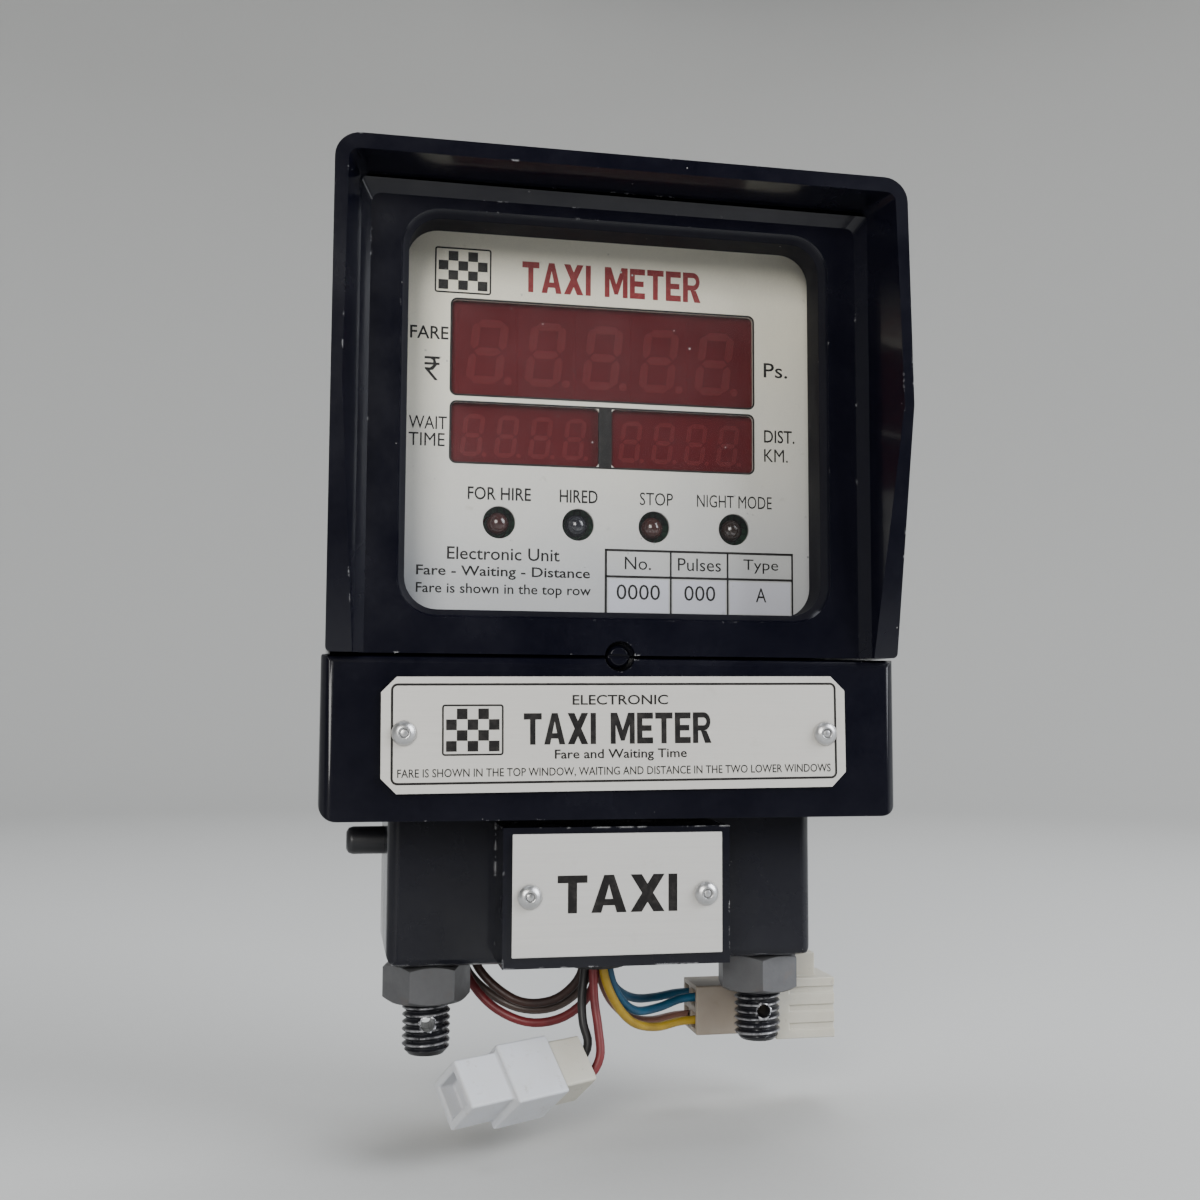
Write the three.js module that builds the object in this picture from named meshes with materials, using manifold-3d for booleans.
// Taxi meter: a cast two-piece case with a sun hood, on a base box that two studs clamp to a bracket.
// Millimetres. +X is the viewer's right, -Y the way the dial faces, +Z up.
// The origin is the middle of the base's flat underside, between the two studs.
import * as THREE from 'three'
import { ConvexGeometry } from 'three/addons/geometries/ConvexGeometry.js'
import { mergeVertices } from 'three/addons/utils/BufferGeometryUtils.js'
import Module from 'manifold-3d'

const wasm = await Module()
wasm.setup()

// Driving dimensions
const GAP = 0.3                 // clearance that neighbouring pieces keep
const WALL = 3                  // casting wall
const OVERCUT = 0.02            // how far one cut runs into the next, so that no skin is left
const PAST = 5                  // how far a cutting tool runs past the face that it cuts
const FAR = 60                  // beyond the case, in front or behind

const HEAD = { half: 58.4, low: 63.2, high: 162.7, corner: 5 }
const BEZEL_Y = -24             // flat face round the window
const CASE_BACK = 23            // rear rim of both castings
const HOOD_PROFILE = [[-35.2, 162.7], [-37.2, 114.5], [-27, 63.2]]
const HOOD_MOUTH = { y: -40, half: 57.12, high: 160.2 }  // the hood's inner walls carried on past its lip
const HOOD_LEDGE = { y: -26.3, half: 53.1, high: 158.3 }
const HOOD_ROOT = { y: BEZEL_Y, half: 51.1, high: 155.4 }
const WINDOW = { half: 43.4, low: 72, high: 151.5, corner: 6.5 }
const WINDOW_RIM = 1.6          // bevel round the window's front edge
const COLLAR_WALL = 2.4         // wall of the collar behind the window
const COLLAR_BACK = -15.5       // rear face of the collar that the glass sits behind

const LOWER = { half: 59.2, low: 30.5, high: 62.9, front: -24.2, corner: 3.5, edge: 2.6, bevel: 1.7 }
const BASE = { half: 45.2, front: -10.5, back: 20.5, high: 30.2, floor: 3.5 }
const BASE_EDGE = { corner: 2.5, foot: 3, rim: 0.5, bevel: 1.6 }
const BLOCK = { half: 23.2, front: -22.8, low: 1.4, high: 28.9 }

const STUD = { x: 36.2, radius: 5, low: -19.2, high: 42, hole_z: -12.6, hole: 1.5, tip: 1.4, boss: 8.5 }
const THREAD = { pitch: 1.5, depth: 0.75, runout: 1.2, crest: 0.25 }
const NUT = { flats: 16, height: 8, bore: 5.3, chamfer: 1 }

const DIAL = { half: 48, low: 67.5, high: 156, front: -8, thick: 1 }
const FARE_WINDOW = { half: 33.45, low: 118.95, high: 139.6 }
const TRIP_WINDOW = { half: 33.4, low: 104.4, high: 117.35, bar: 2.6 }
const LAMPS = { for_hire: -22.9, hired: -5.85, stop: 10.9, night: 28.9 }
const LAMP_Z = 91.8
const LAMP_HOLE = 3.45
const RED_FILTER = { half: 36.5, low: 102.5, high: 141.5, front: -6.7, back: -5.2 }

const NAMEPLATE = { half: 47.5, height: 22.7, z: 47.6, chamfer: 3, turn: 0.55, rivet: 43.1 }
const BADGE = { half: 21.4, low: 3.65, high: 27.7, rivet: 18, rivet_z: 15.5 }
const PLATE_THICK = 0.5

const BUTTON = { y: 12, z: 23.7, radius: 3, tip: -53.2 }
const WIRE = { radius: 0.95, sides: 8 }

// Materials
const paint = (color, roughness, metalness = 0) =>
  new THREE.MeshStandardMaterial({ color, roughness, metalness })
const BLACK_PAINT = paint(0x0c0e16, 0.25)
const ZINC = paint(0x8a8a8c, 0.4, 0.9)
const BLACKED_STEEL = paint(0x17171a, 0.35, 0.8)
const SILVER_PLATE = paint(0xc9c6c0, 0.4, 0.6)
const GLASS = paint(0xe8f0f0, 0.05)
const RED_ACRYLIC = paint(0x7a1018, 0.15)
const RUBBER = paint(0x101010, 0.8)
const BLACK_PLASTIC = paint(0x141414, 0.5)
const GREEN_BOARD = paint(0x1f5a35, 0.5)
const BRASS = paint(0xb08d4a, 0.35, 0.9)
const NYLON = paint(0xe6e2d6, 0.5)
const PALE_NYLON = paint(0xd8d0c0, 0.5)
const STEEL = paint(0xb8b8ba, 0.3, 0.9)
const LAMP_RED = paint(0x5a2a28, 0.2)
const LAMP_BLUE = paint(0x3c4658, 0.2)
const WIRE_COLOURS = {
  blue: paint(0x1d6f96, 0.5),
  yellow: paint(0xc9a62c, 0.5),
  pink: paint(0xa8786a, 0.5),
  red: paint(0x8b3037, 0.5),
  black: paint(0x171517, 0.5),
  brown: paint(0x4a322e, 0.5),
}

// Solid modelling
const solid = (geometry) => {
  const bare = geometry.clone()
  bare.deleteAttribute('normal')
  bare.deleteAttribute('uv')
  const welded = mergeVertices(bare, 1e-5)
  return new wasm.Manifold(new wasm.Mesh({
    numProp: 3,
    vertProperties: new Float32Array(welded.attributes.position.array),
    triVerts: new Uint32Array(welded.index.array),
  }))
}

const geometryOf = (body) => {
  const mesh = body.getMesh()
  const geometry = new THREE.BufferGeometry()
  geometry.setAttribute('position', new THREE.BufferAttribute(new Float32Array(mesh.vertProperties), 3))
  geometry.setIndex(new THREE.BufferAttribute(new Uint32Array(mesh.triVerts), 1))
  geometry.computeVertexNormals()
  return geometry
}

const meter = new THREE.Group()
const add = (name, geometry, material, parent = meter) => {
  const mesh = new THREE.Mesh(geometry, material)
  mesh.name = name
  parent.add(mesh)
  return mesh
}
const addBody = (name, body, material, parent) => add(name, geometryOf(body), material, parent)

// Basic pieces
const box = (x0, x1, y0, y1, z0, z1) => {
  const geometry = new THREE.BoxGeometry(x1 - x0, y1 - y0, z1 - z0)
  return geometry.translate((x0 + x1) / 2, (y0 + y1) / 2, (z0 + z1) / 2)
}

const roundedOutline = (x0, x1, z0, z1, radius, foot = radius) => {
  const outline = new THREE.Shape()
  outline.moveTo(x0 + foot, z0)
  outline.lineTo(x1 - foot, z0)
  outline.absarc(x1 - foot, z0 + foot, foot, -Math.PI / 2, 0)
  outline.lineTo(x1, z1 - radius)
  outline.absarc(x1 - radius, z1 - radius, radius, 0, Math.PI / 2)
  outline.lineTo(x0 + radius, z1)
  outline.absarc(x0 + radius, z1 - radius, radius, Math.PI / 2, Math.PI)
  outline.lineTo(x0, z0 + foot)
  outline.absarc(x0 + foot, z0 + foot, foot, Math.PI, 1.5 * Math.PI)
  return outline
}

// an outline drawn in X and Z, standing from y0 back to y1
const slab = (outline, y0, y1, curveSegments = 4) => {
  const depth = y1 - y0
  const geometry = new THREE.ExtrudeGeometry(outline, { depth, bevelEnabled: false, curveSegments })
  return geometry.rotateX(Math.PI / 2).translate(0, y1, 0)
}

// an outline drawn in X and Y, standing from z0 up to z1
const column = (outline, z0, z1, curveSegments = 4) => {
  const depth = z1 - z0
  const geometry = new THREE.ExtrudeGeometry(outline, { depth, bevelEnabled: false, curveSegments })
  return geometry.translate(0, 0, z0)
}

// an outline of [y, z] corners, standing from -half to half in x
const beam = (corners, half) => {
  const outline = new THREE.Shape(corners.map(([y, z]) => new THREE.Vector2(-y, z)))
  return new THREE.ExtrudeGeometry(outline, { depth: 2 * half, bevelEnabled: false })
    .rotateX(Math.PI / 2).rotateZ(-Math.PI / 2).translate(half, 0, 0)
}

// a round bar along y, x or z
const rod = (radius, from, to, sides) => new THREE.CylinderGeometry(radius, radius, to - from, sides)
const barY = (x, z, radius, y0, y1, sides = 16) =>
  rod(radius, y0, y1, sides).translate(x, (y0 + y1) / 2, z)
const barX = (y, z, radius, x0, x1, sides = 16) =>
  rod(radius, x0, x1, sides).rotateZ(Math.PI / 2).translate((x0 + x1) / 2, y, z)
const barZ = (x, y, radius, z0, z1, sides = 16) =>
  rod(radius, z0, z1, sides).rotateX(Math.PI / 2).translate(x, y, (z0 + z1) / 2)

// the straight-sided block between an outline at y0 and another at y1
const taper = (front, y0, back, y1, segments = 4) => {
  const points = []
  front.getPoints(segments).forEach((p) => points.push(new THREE.Vector3(p.x, y0, p.y)))
  back.getPoints(segments).forEach((p) => points.push(new THREE.Vector3(p.x, y1, p.y)))
  return new ConvexGeometry(points)
}

// a profile of [radius, height] turned about the z axis
const turned = (profile, sides = 20) => {
  const points = profile.map(([r, h]) => new THREE.Vector2(r, h))
  return new THREE.LatheGeometry(points, sides).rotateX(Math.PI / 2)
}

const mirrored = [-1, 1]
const sideName = (side) => (side < 0 ? 'left' : 'right')

// Head casting: the upper case with its window, collar and sun hood
const windowOutline = (grow) => roundedOutline(
  -WINDOW.half - grow, WINDOW.half + grow, WINDOW.low - grow, WINDOW.high + grow, WINDOW.corner + grow)

const SCREW = { radius: 1.5, length: 12, head: 2.9, rise: 2.1, slot: 0.4, slot_floor: 1.2 }
const SCREW_BOSS = { radius: 5.2, hole: 1.8, depth: 13, base: 15 }
const COVER_SCREWS = { upper: { x: 50.6, z: 154.6 }, lower: { x: 51.2, z: 38.6 } }
const POSTS = [[-52.4, 144], [52.4, 144], [52.4, 80]]
const POST = { boss: 4, boss_end: 3.1, hole: 1.7, hole_front: -6, thread: 1.4, body: 2.7 }
const CABLE_WAY = { y: 4, radius: 8 }

const HEAD_FOOT = 1             // radius of the head's bottom corners
const headOutline = roundedOutline(-HEAD.half, HEAD.half, HEAD.low, HEAD.high, HEAD.corner, HEAD_FOOT)
const headBlock = beam([[CASE_BACK, HEAD.low], [CASE_BACK, HEAD.high], ...HOOD_PROFILE], HEAD.half)

const HOOD_INNER_CORNER = 2
const HOOD_BELOW = 20           // the hood is open below, so its cut runs this far under the head
const hoodOpening = (level) =>
  roundedOutline(-level.half, level.half, HEAD.low - HOOD_BELOW, level.high, HOOD_INNER_CORNER, HEAD_FOOT)
const RIM_OVERCUT = 0.2
const deepLedge = { half: HOOD_LEDGE.half + OVERCUT, high: HOOD_LEDGE.high + OVERCUT }

let head = solid(headBlock).intersect(solid(slab(headOutline, -FAR, FAR)))
head = head.subtract(solid(
  taper(hoodOpening(HOOD_MOUTH), HOOD_MOUTH.y, hoodOpening(HOOD_LEDGE), HOOD_LEDGE.y)))
head = head.subtract(solid(
  taper(hoodOpening(deepLedge), HOOD_LEDGE.y - OVERCUT, hoodOpening(HOOD_ROOT), HOOD_ROOT.y)))
head = head.subtract(solid(box(-HEAD.half + WALL, HEAD.half - WALL,
  BEZEL_Y + WALL, CASE_BACK + PAST, HEAD.low + WALL, HEAD.high - WALL)))
head = head.add(solid(slab(windowOutline(COLLAR_WALL), BEZEL_Y + 1, COLLAR_BACK)))
mirrored.forEach((side) => {
  const { x, z } = COVER_SCREWS.upper
  head = head.add(solid(barY(side * x, z, SCREW_BOSS.radius, CASE_BACK - SCREW_BOSS.base, CASE_BACK)))
})
POSTS.forEach(([x, z]) => {
  head = head.add(solid(barY(x, z, POST.boss, BEZEL_Y + 1, POST.boss_end)))
})
head = head.subtract(solid(slab(windowOutline(0), -FAR, COLLAR_BACK + PAST)))
const rimOutline = windowOutline(WINDOW_RIM + RIM_OVERCUT)
head = head.subtract(solid(
  taper(rimOutline, BEZEL_Y - RIM_OVERCUT, windowOutline(0), BEZEL_Y + WINDOW_RIM)))
mirrored.forEach((side) => {
  const { x, z } = COVER_SCREWS.upper
  const bore = barY(side * x, z, SCREW_BOSS.hole, CASE_BACK - SCREW_BOSS.depth, CASE_BACK + PAST)
  head = head.subtract(solid(bore))
})
POSTS.forEach(([x, z]) => {
  head = head.subtract(solid(barY(x, z, POST.hole, POST.hole_front, POST.boss_end + PAST)))
})
head = head.subtract(solid(barZ(0, CABLE_WAY.y, CABLE_WAY.radius, HEAD.low - PAST, HEAD.low + WALL + PAST)))

// Seal screw at the middle of the seam, in a scoop cut into both castings
const SEAL = { z: 63.05, scoop: 3.1, scoop_back: -20.8, bore: 1.8, back: -14 }
const SEAL_SCREW = { thread: 1.5, length: 5, head: 2.4, crown: 1.8, edge: 1.1, rise: 2 }
const SEAL_SLOT = { half: 0.35, deep: 0.6 }
const sealScoop = solid(barY(0, SEAL.z, SEAL.scoop, -FAR, SEAL.scoop_back, 24))
const sealBore = solid(barY(0, SEAL.z, SEAL.bore, -FAR, SEAL.back, 12))
head = head.subtract(sealScoop).subtract(sealBore)
addBody('head_casting', head, BLACK_PAINT)

const sealTop = SEAL_SCREW.length + SEAL_SCREW.rise
const sealShape = turned([
  [0, 0], [SEAL_SCREW.thread, 0], [SEAL_SCREW.thread, SEAL_SCREW.length],
  [SEAL_SCREW.head, SEAL_SCREW.length], [SEAL_SCREW.head, SEAL_SCREW.length + SEAL_SCREW.edge],
  [SEAL_SCREW.crown, sealTop], [0, sealTop],
], 20).rotateX(Math.PI / 2)
const sealSlot = box(-SEAL_SCREW.head - 1, SEAL_SCREW.head + 1,
  -sealTop - 1, -sealTop + SEAL_SLOT.deep, -SEAL_SLOT.half, SEAL_SLOT.half)
addBody('seal_screw', solid(sealShape).subtract(solid(sealSlot)), STEEL)
  .position.set(0, SEAL.scoop_back - GAP + SEAL_SCREW.length, SEAL.z)

// Lower casting: the band under the window that carries the nameplate
const lowerPlan = new THREE.Shape()
lowerPlan.moveTo(-LOWER.half, CASE_BACK)
lowerPlan.lineTo(-LOWER.half, LOWER.front + LOWER.edge)
lowerPlan.absarc(-LOWER.half + LOWER.edge, LOWER.front + LOWER.edge, LOWER.edge, Math.PI, 1.5 * Math.PI)
lowerPlan.lineTo(LOWER.half - LOWER.edge, LOWER.front)
lowerPlan.absarc(LOWER.half - LOWER.edge, LOWER.front + LOWER.edge, LOWER.edge, -Math.PI / 2, 0)
lowerPlan.lineTo(LOWER.half, CASE_BACK)

const LOWER_TOP_CORNER = 0.6
const lowerOutline = roundedOutline(
  -LOWER.half, LOWER.half, LOWER.low, LOWER.high, LOWER_TOP_CORNER, LOWER.corner)
const BEVEL_KNEE = 0.5          // how far the bevel's middle stands in from the square edge
const bevelCut = beam([
  [LOWER.front - PAST, LOWER.high + PAST], [LOWER.front - PAST, LOWER.high - LOWER.bevel],
  [LOWER.front, LOWER.high - LOWER.bevel], [LOWER.front + BEVEL_KNEE, LOWER.high - BEVEL_KNEE],
  [LOWER.front + LOWER.bevel, LOWER.high], [LOWER.front + LOWER.bevel, LOWER.high + PAST],
], FAR)

let lower = solid(column(lowerPlan, LOWER.low, LOWER.high))
lower = lower.intersect(solid(slab(lowerOutline, -FAR, FAR)))
lower = lower.subtract(solid(bevelCut))
lower = lower.subtract(solid(box(-LOWER.half + WALL, LOWER.half - WALL,
  LOWER.front + WALL, CASE_BACK + PAST, LOWER.low + WALL, LOWER.high - WALL)))
mirrored.forEach((side) => {
  const { x, z } = COVER_SCREWS.lower
  lower = lower.add(solid(barY(side * x, z, SCREW_BOSS.radius, CASE_BACK - SCREW_BOSS.base, CASE_BACK)))
  lower = lower.add(solid(barZ(side * STUD.x, 0, STUD.boss, LOWER.low + 1, STUD.high + WALL, 20)))
})
mirrored.forEach((side) => {
  const { x, z } = COVER_SCREWS.lower
  const bore = barY(side * x, z, SCREW_BOSS.hole, CASE_BACK - SCREW_BOSS.depth, CASE_BACK + PAST)
  lower = lower.subtract(solid(bore))
  lower = lower.subtract(solid(
    barZ(side * STUD.x, 0, STUD.radius + GAP, LOWER.low - PAST, STUD.high + GAP, 20)))
})
lower = lower.subtract(solid(barZ(0, CABLE_WAY.y, CABLE_WAY.radius, LOWER.low - PAST, LOWER.high + PAST)))
lower = lower.subtract(sealScoop).subtract(sealBore)

// Blind rivet: a low domed head with the broken pin in its middle, and the shank behind it
const RIVET = { head: 2.45, rise: 1.2, shank: 1.6, length: 5.5, mouth: 0.95, pin: 0.8, sides: 20 }
const rivetProfile = [
  [0, -RIVET.length], [RIVET.shank, -RIVET.length], [RIVET.shank, 0], [RIVET.head, 0],
  [RIVET.head * 0.93, RIVET.rise * 0.5], [RIVET.head * 0.7, RIVET.rise * 0.85], [RIVET.mouth, RIVET.rise],
  [RIVET.pin, RIVET.rise * 0.45], [0, RIVET.rise * 0.55],
]
const rivet = () => turned(rivetProfile, RIVET.sides).rotateX(Math.PI / 2)
const rivetHole = RIVET.shank + GAP
const rivetBore = RIVET.length + 2.5    // depth of a rivet's hole from the casting's face

mirrored.forEach((side) => {
  const bore = barY(side * NAMEPLATE.rivet, NAMEPLATE.z, rivetHole, -FAR, LOWER.front + rivetBore)
  lower = lower.subtract(solid(bore))
})
addBody('lower_casting', lower, BLACK_PAINT)

// Nameplate: a thin plate with cut corners, riveted on slightly turned
const { half: npHalf, height: npHeight, chamfer: npCut } = NAMEPLATE
const nameplateOutline = new THREE.Shape([
  [npHalf, npHeight / 2 - npCut], [npHalf - npCut, npHeight / 2],
  [-npHalf + npCut, npHeight / 2], [-npHalf, npHeight / 2 - npCut],
  [-npHalf, -npHeight / 2 + npCut], [-npHalf + npCut, -npHeight / 2],
  [npHalf - npCut, -npHeight / 2], [npHalf, -npHeight / 2 + npCut],
].map(([x, z]) => new THREE.Vector2(x, z)))
const nameplateFront = LOWER.front - GAP - PLATE_THICK
let nameplate = solid(slab(nameplateOutline, 0, PLATE_THICK)
  .rotateY(-THREE.MathUtils.degToRad(NAMEPLATE.turn)).translate(0, nameplateFront, NAMEPLATE.z))
mirrored.forEach((side) => {
  nameplate = nameplate.subtract(solid(barY(side * NAMEPLATE.rivet, NAMEPLATE.z, rivetHole, -FAR, 0)))
})
addBody('nameplate', nameplate, SILVER_PLATE)
mirrored.forEach((side) => {
  add(`nameplate_rivet_${sideName(side)}`, rivet(), STEEL)
    .position.set(side * NAMEPLATE.rivet, nameplateFront - GAP, NAMEPLATE.z)
})

// Base casting: an open-topped box with a raised block for the badge plate
const GROMMET = { y: 0, hole: 5.9, flange: 7.1, bore: 4.25, low: -2.3, high: 5.2 }
const RETURN_HOLE = { x: -27, y: 12.5, radius: 3.6 }
const SWITCH = { x0: -36.2, x1: -30.6, half: 3, bore: 1.6, bore_deep: 3.2 }
const SHELF = { x0: -36, x1: -30.5, front: 8.5, low: 16.9 }  // what the button's switch sits on
const basePlan = new THREE.Shape()
basePlan.moveTo(-BASE.half, BASE.back)
const baseCorner = { x: BASE.half - BASE_EDGE.corner, y: BASE.front + BASE_EDGE.corner }
basePlan.lineTo(-BASE.half, baseCorner.y)
basePlan.absarc(-baseCorner.x, baseCorner.y, BASE_EDGE.corner, Math.PI, 1.5 * Math.PI)
basePlan.lineTo(baseCorner.x, BASE.front)
basePlan.absarc(baseCorner.x, baseCorner.y, BASE_EDGE.corner, -Math.PI / 2, 0)
basePlan.lineTo(BASE.half, BASE.back)
const baseOutline = roundedOutline(
  -BASE.half, BASE.half, 0, BASE.high, BASE_EDGE.rim, BASE_EDGE.foot)
const baseSide = beam([
  [BASE.back, 0], [BASE.back, BASE.high], [BASE.front, BASE.high],
  [BASE.front, BASE_EDGE.bevel], [BASE.front + BEVEL_KNEE, BEVEL_KNEE], [BASE.front + BASE_EDGE.bevel, 0],
], BASE.half)

let base = solid(column(basePlan, 0, BASE.high)).intersect(solid(slab(baseOutline, -FAR, FAR)))
base = base.intersect(solid(baseSide))
base = base.add(solid(box(-BLOCK.half, BLOCK.half, BLOCK.front, BASE.front + 2, BLOCK.low, BLOCK.high)))
base = base.subtract(solid(box(-BASE.half + WALL, BASE.half - WALL, BASE.front + WALL, BASE.back - WALL,
  BASE.floor, BASE.high + PAST)))
base = base.add(solid(box(SHELF.x0, SHELF.x1, SHELF.front, BASE.back - 1,
  SHELF.low, BUTTON.z - SWITCH.half - GAP)))
mirrored.forEach((side) => {
  base = base.subtract(solid(barZ(side * STUD.x, 0, STUD.radius + GAP, -PAST, BASE.floor + PAST, 20)))
  base = base.subtract(solid(
    barY(side * BADGE.rivet, BADGE.rivet_z, rivetHole, -FAR, BLOCK.front + rivetBore)))
})
base = base.subtract(solid(barZ(0, GROMMET.y, GROMMET.hole, -PAST, BASE.floor + PAST, 20)))
base = base.subtract(solid(
  barZ(RETURN_HOLE.x, RETURN_HOLE.y, RETURN_HOLE.radius, -PAST, BASE.floor + PAST, 20)))
base = base.subtract(solid(
  barX(BUTTON.y, BUTTON.z, BUTTON.radius + GAP, -FAR, -BASE.half + WALL + PAST, 20)))
addBody('base_casting', base, BLACK_PAINT)

// Badge plate on the raised block
const badgeFront = BLOCK.front - GAP - PLATE_THICK
let badge = solid(box(-BADGE.half, BADGE.half, badgeFront, badgeFront + PLATE_THICK, BADGE.low, BADGE.high))
mirrored.forEach((side) => {
  badge = badge.subtract(solid(barY(side * BADGE.rivet, BADGE.rivet_z, rivetHole, -FAR, 0)))
})
addBody('badge_plate', badge, SILVER_PLATE)
mirrored.forEach((side) => {
  add(`badge_rivet_${sideName(side)}`, rivet(), STEEL)
    .position.set(side * BADGE.rivet, badgeFront - GAP, BADGE.rivet_z)
})

// Mounting studs: threaded rod with a cross hole for the seal wire, screwed up into the lower casting
const studProfile = [
  [0, STUD.low], [STUD.radius - STUD.tip, STUD.low],
  [STUD.radius - THREAD.runout / 2, STUD.low + THREAD.runout / 2],
]
const threadTurns = Math.floor((-NUT.height - STUD.low - THREAD.pitch) / THREAD.pitch)
for (let i = 0; i < threadTurns; i += 1) {
  const crest = STUD.low + THREAD.runout + THREAD.crest + i * THREAD.pitch
  studProfile.push([STUD.radius, crest])
  studProfile.push([STUD.radius - THREAD.depth, crest + THREAD.pitch / 2])
}
studProfile.push([STUD.radius, STUD.low + (threadTurns + 1) * THREAD.pitch])
studProfile.push([STUD.radius, STUD.high - 1])
studProfile.push([STUD.radius - 1, STUD.high])
studProfile.push([0, STUD.high])
const stud = solid(turned(studProfile, 24))
  .subtract(solid(barY(0, STUD.hole_z, STUD.hole, -STUD.radius - PAST, STUD.radius + PAST, 14)))
mirrored.forEach((side) => {
  addBody(`stud_${sideName(side)}`, stud, BLACKED_STEEL).position.set(side * STUD.x, 0, 0)
})

// Hexagon nuts with chamfered corners, one turned a little from the other
const nutRadius = NUT.flats / Math.sqrt(3)
const nutHex = new THREE.CylinderGeometry(nutRadius, nutRadius, NUT.height, 6).rotateX(Math.PI / 2)
  .translate(0, 0, -NUT.height / 2)
const nutFace = NUT.flats / 2 - 0.2     // radius of the flat face inside the chamfer
const nutEdge = nutRadius + 0.3         // the chamfer's cone runs out past the corners
const nutCone = turned([
  [0, -NUT.height], [nutFace, -NUT.height], [nutEdge, -NUT.height + NUT.chamfer],
  [nutEdge, -NUT.chamfer], [nutFace, 0], [0, 0],
], 30)
const nut = solid(nutHex).intersect(solid(nutCone))
  .subtract(solid(barZ(0, 0, NUT.bore, -NUT.height - PAST, PAST, 20)))
const nutTurn = { left: 4, right: 20 }
mirrored.forEach((side) => {
  const mesh = addBody(`nut_${sideName(side)}`, nut, ZINC)
  mesh.position.set(side * STUD.x, 0, -GAP)
  mesh.rotation.z = THREE.MathUtils.degToRad(nutTurn[sideName(side)])
})

// Window stack: gasket, glass and spacer frame behind the collar
const ring = (x, z0, z1, corner, width, y0, y1) => {
  const outer = roundedOutline(-x, x, z0, z1, corner)
  outer.holes.push(roundedOutline(-x + width, x - width, z0 + width, z1 - width, corner - width / 2))
  return slab(outer, y0, y1)
}
const PANE = { half: 47.4, low: 68, high: 155.5, corner: 7, thick: 2.5 }
const GASKET = { width: 3.2, thick: 1.2 }
const SPACER = { grow: 0.4, lift: 0.3, width: 1.3 }
const gasketFront = COLLAR_BACK + GAP
const paneFront = gasketFront + GASKET.thick + GAP
const spacerFront = paneFront + PANE.thick + GAP
add('front_gasket', ring(PANE.half, PANE.low, PANE.high, PANE.corner, GASKET.width,
  gasketFront, gasketFront + GASKET.thick), RUBBER)
add('front_glass', slab(roundedOutline(-PANE.half, PANE.half, PANE.low, PANE.high, PANE.corner),
  paneFront, paneFront + PANE.thick), GLASS)
add('dial_spacer', ring(PANE.half + SPACER.grow, PANE.low - SPACER.lift, PANE.high + SPACER.lift,
  PANE.corner, SPACER.width, spacerFront, DIAL.front - GAP), BLACK_PLASTIC)

// Dial plate with the fare window, the pair of trip windows and the four lamp holes
const WINDOW_HOLE_CORNER = 1.2
const DIAL_CORNER = 4
const hole = (x0, x1, z0, z1) => roundedOutline(x0, x1, z0, z1, WINDOW_HOLE_CORNER)
const circle = (x, z, radius) => {
  const path = new THREE.Path()
  path.absarc(x, z, radius, 0, 2 * Math.PI)
  return path
}
const dialOutline = roundedOutline(-DIAL.half, DIAL.half, DIAL.low, DIAL.high, DIAL_CORNER)
dialOutline.holes.push(hole(-FARE_WINDOW.half, FARE_WINDOW.half, FARE_WINDOW.low, FARE_WINDOW.high))
dialOutline.holes.push(hole(-TRIP_WINDOW.half, -TRIP_WINDOW.bar / 2, TRIP_WINDOW.low, TRIP_WINDOW.high))
dialOutline.holes.push(hole(TRIP_WINDOW.bar / 2, TRIP_WINDOW.half, TRIP_WINDOW.low, TRIP_WINDOW.high))
Object.values(LAMPS).forEach((x) => dialOutline.holes.push(circle(x, LAMP_Z, LAMP_HOLE)))
add('dial_plate', slab(dialOutline, DIAL.front, DIAL.front + DIAL.thick, 5), SILVER_PLATE)
const filterOutline = roundedOutline(
  -RED_FILTER.half, RED_FILTER.half, RED_FILTER.low, RED_FILTER.high, WINDOW_HOLE_CORNER)
add('red_filter', slab(filterOutline, RED_FILTER.front, RED_FILTER.back), RED_ACRYLIC)

// Display board with its digit modules and lamps
const BOARD = { half: 54.6, low: 70, high: 154, front: 3.4, thick: 1.6 }
const DIGIT = { pitch: 12.7, width: 12.3, height: 19, y0: -4.9, y1: 3.1, z: 129.3 }
for (let i = 0; i < 5; i += 1) {
  const x = (i - 2) * DIGIT.pitch
  add(`fare_digit_${i + 1}`, box(x - DIGIT.width / 2, x + DIGIT.width / 2, DIGIT.y0, DIGIT.y1,
    DIGIT.z - DIGIT.height / 2, DIGIT.z + DIGIT.height / 2), BLACK_PLASTIC)
}
const GROUP = { x: 17.35, width: 30.1, height: 14, z: 110.9 }
mirrored.forEach((side) => {
  const x = side * GROUP.x
  add(side < 0 ? 'wait_digits' : 'distance_digits', box(x - GROUP.width / 2, x + GROUP.width / 2,
    DIGIT.y0, DIGIT.y1, GROUP.z - GROUP.height / 2, GROUP.z + GROUP.height / 2), BLACK_PLASTIC)
})
const LAMP = { radius: 2.5, flange: 2.9, flange_high: 3.2, shoulder: 8.3 }
const lampProfile = [
  [0, 0], [LAMP.flange, 0], [LAMP.flange, LAMP.flange_high], [LAMP.radius, LAMP.flange_high],
  [LAMP.radius, LAMP.shoulder], [2.1, 9.7], [1.2, 10.6], [0, 10.9],
]
Object.entries(LAMPS).forEach(([name, x]) => {
  add(`lamp_${name}`, turned(lampProfile, 16).rotateX(Math.PI / 2), name === 'hired' ? LAMP_BLUE : LAMP_RED)
    .position.set(x, DIGIT.y1, LAMP_Z)
})

const boardOutline = (board) => {
  const outline = roundedOutline(-board.half, board.half, board.low, board.high, 1)
  POSTS.forEach(([x, z]) => outline.holes.push(circle(x, z, POST.hole)))
  return outline
}
add('display_board', slab(boardOutline(BOARD), BOARD.front, BOARD.front + BOARD.thick, 3), GREEN_BOARD)

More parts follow.
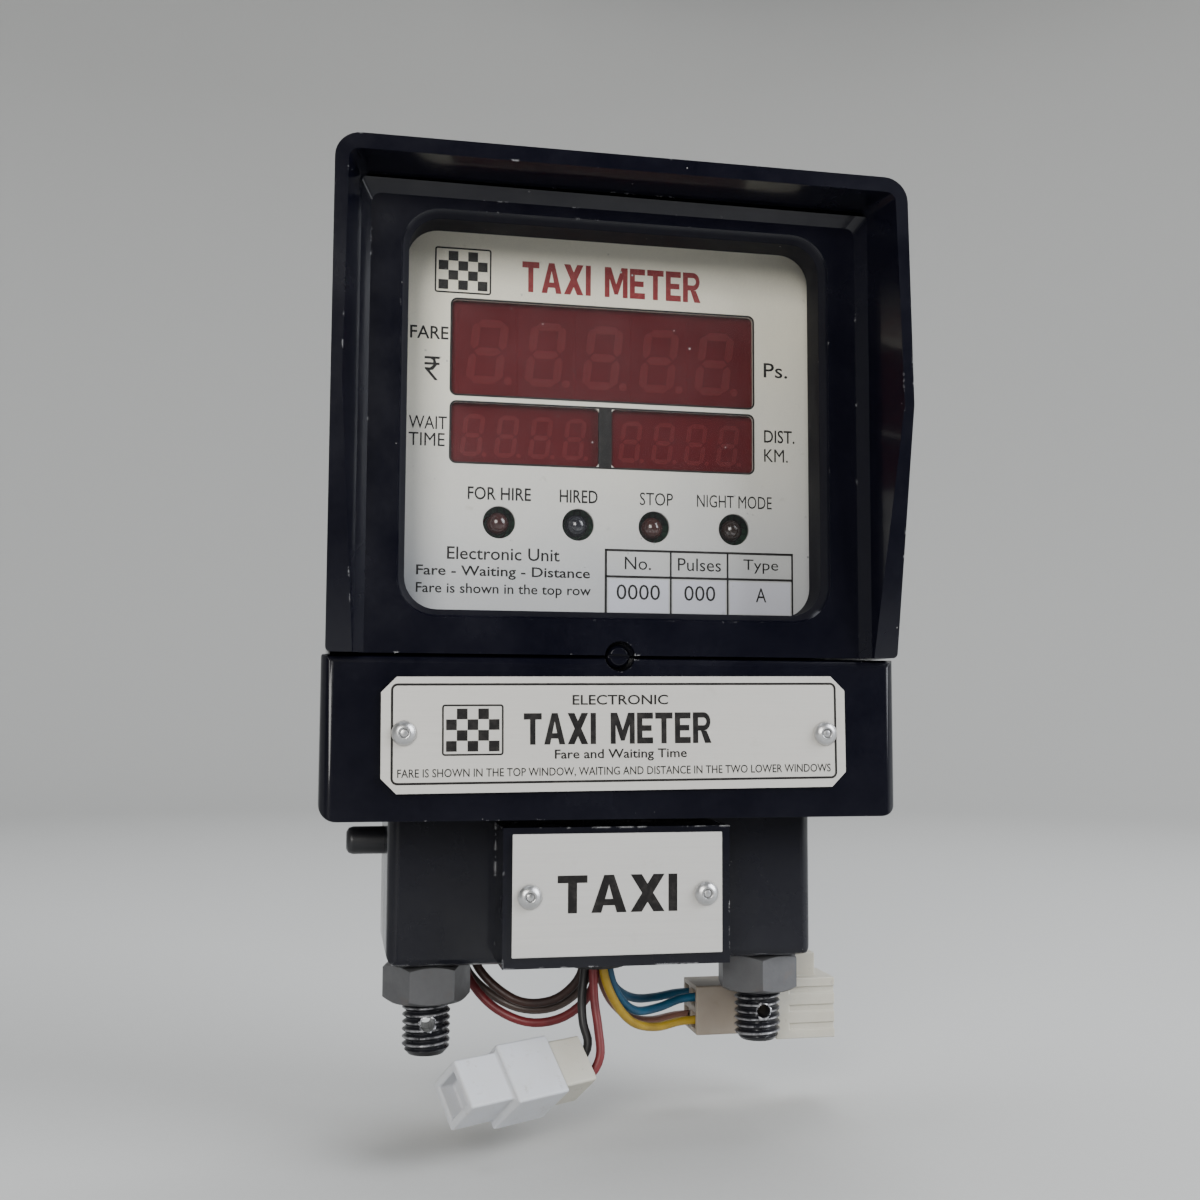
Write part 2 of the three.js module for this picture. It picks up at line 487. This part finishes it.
// Logic board on threaded posts behind it, with the controller and the backup cell
const LOGIC = { half: 54.6, low: 72, high: 148.8, front: 13.3, thick: 1.6 }
add('logic_board', slab(boardOutline(LOGIC), LOGIC.front, LOGIC.front + LOGIC.thick, 3), GREEN_BOARD)
const POST_ENDS = { front: -3, back: 17 }
const postBody = [BOARD.front + BOARD.thick + GAP, LOGIC.front - GAP]
const postProfile = [
  [0, POST_ENDS.front], [POST.thread, POST_ENDS.front],
  [POST.thread, postBody[0]], [POST.body, postBody[0]],
  [POST.body, postBody[1]], [POST.thread, postBody[1]],
  [POST.thread, POST_ENDS.back], [0, POST_ENDS.back],
]
POSTS.forEach(([x, z], i) => {
  add(`board_post_${i + 1}`, turned(postProfile, 12).rotateX(-Math.PI / 2), BRASS).position.set(x, 0, z)
})
const CHIP = { half: 26, low: 104, high: 118, thick: 4 }
const CELL = { x: 30, z: 90, radius: 10, thick: 5.2 }
const logicBack = LOGIC.front + LOGIC.thick + GAP
add('controller_chip', box(-CHIP.half, CHIP.half, logicBack, logicBack + CHIP.thick, CHIP.low, CHIP.high),
  BLACK_PLASTIC)
add('backup_cell', barY(CELL.x, CELL.z, CELL.radius, logicBack, logicBack + CELL.thick, 24), STEEL)

// Rear cover, its gasket and four screws
const COVER = { inset: 0.5, corner: 4, thick: 2.2 }
const BACK_GASKET = { inset: 0.5, width: 2.3, thick: 1, corner: 3 }
const backEdge = (inset) => roundedOutline(-HEAD.half + inset, HEAD.half - inset,
  LOWER.low + COVER.inset + inset, HEAD.high - COVER.inset - inset, COVER.corner)
const gasketInset = BACK_GASKET.inset + BACK_GASKET.width
const gasketOutline = backEdge(BACK_GASKET.inset)
gasketOutline.holes.push(roundedOutline(-HEAD.half + gasketInset, HEAD.half - gasketInset,
  LOWER.low + gasketInset, HEAD.high - gasketInset, BACK_GASKET.corner))
add('back_gasket', slab(gasketOutline, CASE_BACK + GAP, CASE_BACK + GAP + BACK_GASKET.thick), RUBBER)
const coverHoles = mirrored.flatMap((side) => Object.values(COVER_SCREWS).map(({ x, z }) => [side * x, z]))
const coverOutline = backEdge(0)
coverHoles.forEach(([x, z]) => coverOutline.holes.push(circle(x, z, SCREW_BOSS.hole)))
const coverFront = CASE_BACK + BACK_GASKET.thick + 2 * GAP
add('back_cover', slab(coverOutline, coverFront, coverFront + COVER.thick, 4), BLACK_PAINT)
const screwProfile = [
  [0, -SCREW.length], [SCREW.radius, -SCREW.length], [SCREW.radius, 0], [SCREW.head, 0],
  [SCREW.head, 1.1], [2.2, 1.9], [0, SCREW.rise],
]
const screwSlot = box(-SCREW.head - 1, SCREW.head + 1,
  -SCREW.slot, SCREW.slot, SCREW.slot_floor, SCREW.rise + 1)
const screw = solid(turned(screwProfile, 18)).subtract(solid(screwSlot))
coverHoles.forEach(([x, z], i) => {
  const mesh = addBody(`cover_screw_${i + 1}`, screw, STEEL)
  mesh.rotation.x = -Math.PI / 2
  mesh.position.set(x, coverFront + COVER.thick + GAP, z)
})

// Side push button: cap, return spring and switch body
const CAP_COLLAR = { x0: -41.9, x1: -40.7, radius: 4 }
const CAP_PIN = { radius: 1.2, end: -36.6 }
const capProfile = [
  [0, BUTTON.tip], [1.9, BUTTON.tip], [2.7, BUTTON.tip + 0.5], [BUTTON.radius, BUTTON.tip + 1.4],
  [BUTTON.radius, CAP_COLLAR.x0], [CAP_COLLAR.radius, CAP_COLLAR.x0], [CAP_COLLAR.radius, CAP_COLLAR.x1],
  [CAP_PIN.radius, CAP_COLLAR.x1], [CAP_PIN.radius, CAP_PIN.end], [0, CAP_PIN.end],
]
const pushAxis = new THREE.Group()
pushAxis.position.set(0, BUTTON.y, BUTTON.z)
meter.add(pushAxis)
add('button_cap', turned(capProfile, 20).rotateY(Math.PI / 2), BLACK_PLASTIC, pushAxis)
const switchBody = solid(box(SWITCH.x0, SWITCH.x1, -SWITCH.half, SWITCH.half, -SWITCH.half, SWITCH.half))
  .subtract(solid(barX(0, 0, SWITCH.bore, SWITCH.x0 - PAST, SWITCH.x0 + SWITCH.bore_deep, 14)))
addBody('button_switch', switchBody, BLACK_PLASTIC, pushAxis)

class Helix extends THREE.Curve {
  constructor(x0, x1, radius, turns) {
    super()
    Object.assign(this, { x0, x1, radius, turns })
  }

  getPoint(t, target = new THREE.Vector3()) {
    const angle = 2 * Math.PI * this.turns * t
    const x = this.x0 + (this.x1 - this.x0) * t
    return target.set(x, this.radius * Math.cos(angle), this.radius * Math.sin(angle))
  }
}

const ringShape = (radius, sides) => {
  const corners = Array.from({ length: sides }, (_, i) => {
    const angle = (2 * Math.PI * (i + 0.5)) / sides
    return new THREE.Vector2(radius * Math.cos(angle), radius * Math.sin(angle))
  })
  return new THREE.Shape(corners)
}
const SPRING = { radius: 2.4, wire: 0.3, turns: 4, seat: 0.6 }
const springPath = new Helix(
  CAP_COLLAR.x1 + SPRING.seat, SWITCH.x0 - SPRING.seat, SPRING.radius, SPRING.turns)
const coil = new THREE.ExtrudeGeometry(ringShape(SPRING.wire, 6), { steps: 48, extrudePath: springPath })
add('button_spring', coil, STEEL, pushAxis)

// Cable grommet in the base floor
const grommetProfile = [
  [GROMMET.bore, GROMMET.low], [GROMMET.flange - 0.8, GROMMET.low], [GROMMET.flange, GROMMET.low + 0.7],
  [GROMMET.flange, -GAP], [GROMMET.hole - GAP, -GAP], [GROMMET.hole - GAP, BASE.floor + GAP],
  [GROMMET.flange, BASE.floor + GAP], [GROMMET.flange, GROMMET.high], [GROMMET.bore, GROMMET.high],
  [GROMMET.bore, GROMMET.low],
]
add('cable_grommet', turned(grommetProfile, 20), RUBBER).position.set(0, GROMMET.y, 0)

// Connectors: a four-way nylon pair on the right, a two-way pair hanging at the left
const RIGHT_PAIR = { y: 12.4, z: -14.6, half: 5.6 }
const RIGHT_SOCKET = { x0: 24.2, x1: 42.6, half_z: 5.4 }
const RIGHT_WAY = { half: 1.7, spread_y: 2.7, spread_z: 2.5, end: 27.6 }
const RIGHT_PLUG = { x0: 42.9, x1: 56.8, low: -7, high: 6.4 }
const LATCH = { x0: 46, x1: 53, half: 3, high: 11.6 }
const RIBS = { count: 3, x0: 46, depth: 0.5, low: -5, width: 1.4, pitch: 4 }
const rightPair = new THREE.Group()
rightPair.position.set(0, RIGHT_PAIR.y, RIGHT_PAIR.z)
meter.add(rightPair)
const wayCut = (x0, x1, y, z, size) => solid(box(x0, x1, y - size, y + size, z - size, z + size))
const across = RIGHT_PAIR.half
let rightSocket = solid(box(RIGHT_SOCKET.x0, RIGHT_SOCKET.x1, -across, across,
  -RIGHT_SOCKET.half_z, RIGHT_SOCKET.half_z))
mirrored.forEach((front) => mirrored.forEach((level) => {
  rightSocket = rightSocket.subtract(wayCut(RIGHT_SOCKET.x0 - PAST, RIGHT_WAY.end,
    front * RIGHT_WAY.spread_y, level * RIGHT_WAY.spread_z, RIGHT_WAY.half))
}))
addBody('right_receptacle', rightSocket, PALE_NYLON, rightPair)
let rightPlug = solid(box(RIGHT_PLUG.x0, RIGHT_PLUG.x1, -across, across, RIGHT_PLUG.low, RIGHT_PLUG.high))
  .add(solid(box(LATCH.x0, LATCH.x1, -LATCH.half, LATCH.half, RIGHT_PLUG.high - 1, LATCH.high)))
for (let i = 0; i < RIBS.count; i += 1) {
  const low = RIBS.low + i * RIBS.pitch
  const groove = box(RIBS.x0, RIGHT_PLUG.x1 + PAST,
    -across - PAST, -across + RIBS.depth, low, low + RIBS.width)
  rightPlug = rightPlug.subtract(solid(groove))
}
addBody('right_plug', rightPlug, NYLON, rightPair)

const LEFT_PAIR = { x: -5.4, y: -7.4, z: -22, lean: 40, swing: 30 }
const LEFT_PLUG = { x0: -8.4, x1: 0, half_y: 4.6, half_z: 5, way: 1.6, way_end: -3.4, spread_z: 2.3 }
const LEFT_SOCKET = { x0: -21.4, x1: -8.7, half_y: 5.6, low: -6.4, high: 6 }
const LEFT_TAIL = { x0: -31.5, mouth: -28, half_y: 3, half_z: 3.4 }
const leftPair = new THREE.Group()
leftPair.position.set(LEFT_PAIR.x, LEFT_PAIR.y, LEFT_PAIR.z)
const leftLean = THREE.MathUtils.degToRad(LEFT_PAIR.lean)
const leftSwing = THREE.MathUtils.degToRad(LEFT_PAIR.swing)
leftPair.rotation.set(-leftLean, 0, leftSwing, 'ZXY')
meter.add(leftPair)
let leftPlug = solid(box(LEFT_PLUG.x0, LEFT_PLUG.x1, -LEFT_PLUG.half_y, LEFT_PLUG.half_y,
  -LEFT_PLUG.half_z, LEFT_PLUG.half_z))
mirrored.forEach((level) => {
  leftPlug = leftPlug.subtract(wayCut(LEFT_PLUG.way_end, LEFT_PLUG.x1 + PAST, 0,
    level * LEFT_PLUG.spread_z, LEFT_PLUG.way))
})
addBody('left_plug', leftPlug, PALE_NYLON, leftPair)
const leftTail = box(LEFT_TAIL.x0, LEFT_SOCKET.x0 + 0.4, -LEFT_PLUG.half_y, LEFT_PLUG.half_y,
  -LEFT_PLUG.half_z, LEFT_PLUG.half_z)
const leftMouth = box(LEFT_TAIL.x0 - PAST, LEFT_TAIL.mouth, -LEFT_TAIL.half_y, LEFT_TAIL.half_y,
  -LEFT_TAIL.half_z, LEFT_TAIL.half_z)
const leftSocket = solid(box(LEFT_SOCKET.x0, LEFT_SOCKET.x1, -LEFT_SOCKET.half_y, LEFT_SOCKET.half_y,
  LEFT_SOCKET.low, LEFT_SOCKET.high)).add(solid(leftTail)).subtract(solid(leftMouth))
addBody('left_receptacle', leftSocket, NYLON, leftPair)

// Wires: each leaves the grommet straight down and runs to its connector, or back up into the base
const BUNDLE = 2.95             // radius of the ring of wires in the grommet
const DROP = [7, 1, -3.4]       // heights of a wire's straight start
const straightDown = (x, y) => DROP.map((z) => [x, y, z])
const fromRing = (degrees) => {
  const angle = THREE.MathUtils.degToRad(degrees)
  return straightDown(BUNDLE * Math.cos(angle), BUNDLE * Math.sin(angle))
}
const WIRES = {
  wire_blue_front: { colour: 'blue', points: [...fromRing(-22),
    [4.6, -0.6, -8.6], [9.2, 3, -13], [15.8, 7.6, -13.6], [21.6, 9.6, -12.3], [27.1, 9.7, -12.1]] },
  wire_blue_back: { colour: 'blue', points: [...fromRing(22),
    [5, 3.4, -8], [10.4, 8.8, -11.6], [16.6, 13.6, -12.6], [21.6, 15.1, -12.2], [27.1, 15.1, -12.1]] },
  wire_yellow: { colour: 'yellow', points: [...fromRing(-67),
    [3.2, -2.6, -9], [8.2, 1.4, -15], [15, 6.6, -17.6], [21.4, 9.4, -17.2], [27.1, 9.7, -17.1]] },
  wire_pink: { colour: 'pink', points: [...fromRing(67),
    [3.6, 4.4, -10], [9.4, 9.4, -15.8], [15.6, 13.8, -17.8], [21.6, 15.1, -17.2], [27.1, 15.1, -17.1]] },
  wire_red: { colour: 'red', points: [...fromRing(-112),
    [-1, -3.6, -9], [-0.4, -5.2, -15], [-0.3, -6.6, -20], [-2.2, -7.4, -23.2], [-6.9, -10, -23.8]] },
  wire_black: { colour: 'black', points: [...fromRing(-157),
    [-3.4, -2, -9], [-3.3, -3.2, -14], [-2.4, -3.9, -17.6], [-3.2, -4.4, -20], [-8.3, -7.4, -20.2]] },
  wire_loop_red: { colour: 'red', points: [...straightDown(0, 0), [-1.2, 0.6, -8.6], [-6.2, 2.6, -13.6],
    [-13.4, 6, -15.4], [-20.8, 9.4, -12.6], [-26, 11.2, -6.8], [-27.7, 11.25, -1.4], [-27.7, 11.25, 3.8]] },
  wire_loop_brown: { colour: 'brown', points: [...fromRing(158), [-4.2, 1.9, -6.6], [-8.4, 4.4, -10.4],
    [-14.8, 8, -11.4], [-20.2, 10.8, -8.6], [-24.2, 12.2, -4.2], [-25.5, 12.5, -0.4], [-25.5, 12.5, 3.8]] },
  wire_loop_grey: { colour: 'brown', points: [...fromRing(112), [-2.4, 4.2, -8], [-7.6, 7.6, -12.6],
    [-14.6, 11, -13.4], [-21.2, 13.2, -10.4], [-26.2, 13.9, -5.4],
    [-27.7, 13.75, -0.6], [-27.7, 13.75, 3.8]] },
}
Object.entries(WIRES).forEach(([name, { colour, points }]) => {
  const places = points.map((place) => new THREE.Vector3(...place))
  const path = new THREE.CatmullRomCurve3(places, false, 'centripetal')
  const steps = Math.ceil(path.getLength() / (5 * WIRE.radius))
  const section = ringShape(WIRE.radius, WIRE.sides)
  add(name, new THREE.ExtrudeGeometry(section, { steps, extrudePath: path }), WIRE_COLOURS[colour])
})

export default meter
